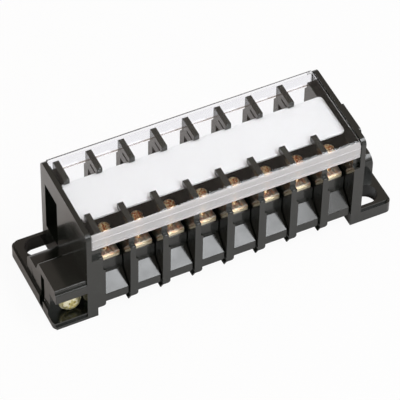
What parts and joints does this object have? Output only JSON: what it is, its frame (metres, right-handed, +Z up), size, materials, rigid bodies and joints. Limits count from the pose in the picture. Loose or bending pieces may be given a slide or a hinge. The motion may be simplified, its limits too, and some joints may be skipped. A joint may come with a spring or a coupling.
{
  "type": "barrier terminal strip",
  "caption": "Barrier terminal strip: moulded poles on a short rail between slotted end brackets, with raised clamp screws, a marking strip and a clear lift-off cover.",
  "frame": {"origin": "centre of the row at the level of the panel that the ears are screwed to", "axes": "+X along the row towards the right end bracket, +Y from the front to the back, +Z up from the panel"},
  "size_m": [0.1284, 0.038, 0.042],
  "materials": {
    "housing": "glossy moulded",
    "conductor": "bright",
    "plated": "yellow zinc plated",
    "steel": "zinc plated",
    "card": "matte",
    "clear": "clear moulded"
  },
  "bodies": {
    "strip": {"pole_housing_1": "housing", "pole_housing_2": "housing", "pole_housing_3": "housing", "pole_housing_4": "housing", "pole_housing_5": "housing", "pole_housing_6": "housing", "pole_housing_7": "housing", "pole_housing_8": "housing", "conductor_bar_1": "conductor", "conductor_bar_2": "conductor", "conductor_bar_3": "conductor", "conductor_bar_4": "conductor", "conductor_bar_5": "conductor", "conductor_bar_6": "conductor", "conductor_bar_7": "conductor", "conductor_bar_8": "conductor", "clamp_plate_front_1": "plated", "clamp_plate_front_2": "plated", "clamp_plate_front_3": "plated", "clamp_plate_front_4": "plated", "clamp_plate_front_5": "plated", "clamp_plate_front_6": "plated", "clamp_plate_front_7": "plated", "clamp_plate_front_8": "plated", "clamp_plate_rear_1": "plated", "clamp_plate_rear_2": "plated", "clamp_plate_rear_3": "plated", "clamp_plate_rear_4": "plated", "clamp_plate_rear_5": "plated", "clamp_plate_rear_6": "plated", "clamp_plate_rear_7": "plated", "clamp_plate_rear_8": "plated", "end_bracket_left": "housing", "end_bracket_right": "housing", "rail_clamp_screw_left": "plated", "rail_clamp_screw_right": "plated", "rail_clamp_nut_left": "plated", "rail_clamp_nut_right": "plated", "rail_clamp_jaw_left": "steel", "rail_clamp_jaw_right": "steel", "support_rail": "steel", "marking_strip": "card"},
    "cover": {"clear_cover": "clear"},
    "screw_front_1": {"terminal_screw_front_1": "plated"},
    "screw_front_2": {"terminal_screw_front_2": "plated"},
    "screw_front_3": {"terminal_screw_front_3": "plated"},
    "screw_front_4": {"terminal_screw_front_4": "plated"},
    "screw_front_5": {"terminal_screw_front_5": "plated"},
    "screw_front_6": {"terminal_screw_front_6": "plated"},
    "screw_front_7": {"terminal_screw_front_7": "plated"},
    "screw_front_8": {"terminal_screw_front_8": "plated"},
    "screw_rear_1": {"terminal_screw_rear_1": "plated"},
    "screw_rear_2": {"terminal_screw_rear_2": "plated"},
    "screw_rear_3": {"terminal_screw_rear_3": "plated"},
    "screw_rear_4": {"terminal_screw_rear_4": "plated"},
    "screw_rear_5": {"terminal_screw_rear_5": "plated"},
    "screw_rear_6": {"terminal_screw_rear_6": "plated"},
    "screw_rear_7": {"terminal_screw_rear_7": "plated"},
    "screw_rear_8": {"terminal_screw_rear_8": "plated"}
  },
  "joints": [
    {"name": "cover_lift", "type": "slide", "parent": "strip", "child": "cover", "axis": [0, 0, 1], "range_m": [0, 0.012]},
    {"name": "screw_front_1_travel", "type": "slide", "parent": "strip", "child": "screw_front_1", "axis": [0, 0, 1], "range_m": [-0.0074, 0]},
    {"name": "screw_front_2_travel", "type": "slide", "parent": "strip", "child": "screw_front_2", "axis": [0, 0, 1], "range_m": [-0.0074, 0]},
    {"name": "screw_front_3_travel", "type": "slide", "parent": "strip", "child": "screw_front_3", "axis": [0, 0, 1], "range_m": [-0.0074, 0]},
    {"name": "screw_front_4_travel", "type": "slide", "parent": "strip", "child": "screw_front_4", "axis": [0, 0, 1], "range_m": [-0.0074, 0]},
    {"name": "screw_front_5_travel", "type": "slide", "parent": "strip", "child": "screw_front_5", "axis": [0, 0, 1], "range_m": [-0.0074, 0]},
    {"name": "screw_front_6_travel", "type": "slide", "parent": "strip", "child": "screw_front_6", "axis": [0, 0, 1], "range_m": [-0.0074, 0]},
    {"name": "screw_front_7_travel", "type": "slide", "parent": "strip", "child": "screw_front_7", "axis": [0, 0, 1], "range_m": [-0.0074, 0]},
    {"name": "screw_front_8_travel", "type": "slide", "parent": "strip", "child": "screw_front_8", "axis": [0, 0, 1], "range_m": [-0.0074, 0]},
    {"name": "screw_rear_1_travel", "type": "slide", "parent": "strip", "child": "screw_rear_1", "axis": [0, 0, 1], "range_m": [-0.0074, 0]},
    {"name": "screw_rear_2_travel", "type": "slide", "parent": "strip", "child": "screw_rear_2", "axis": [0, 0, 1], "range_m": [-0.0074, 0]},
    {"name": "screw_rear_3_travel", "type": "slide", "parent": "strip", "child": "screw_rear_3", "axis": [0, 0, 1], "range_m": [-0.0074, 0]},
    {"name": "screw_rear_4_travel", "type": "slide", "parent": "strip", "child": "screw_rear_4", "axis": [0, 0, 1], "range_m": [-0.0074, 0]},
    {"name": "screw_rear_5_travel", "type": "slide", "parent": "strip", "child": "screw_rear_5", "axis": [0, 0, 1], "range_m": [-0.0074, 0]},
    {"name": "screw_rear_6_travel", "type": "slide", "parent": "strip", "child": "screw_rear_6", "axis": [0, 0, 1], "range_m": [-0.0074, 0]},
    {"name": "screw_rear_7_travel", "type": "slide", "parent": "strip", "child": "screw_rear_7", "axis": [0, 0, 1], "range_m": [-0.0074, 0]},
    {"name": "screw_rear_8_travel", "type": "slide", "parent": "strip", "child": "screw_rear_8", "axis": [0, 0, 1], "range_m": [-0.0074, 0]}
  ]
}
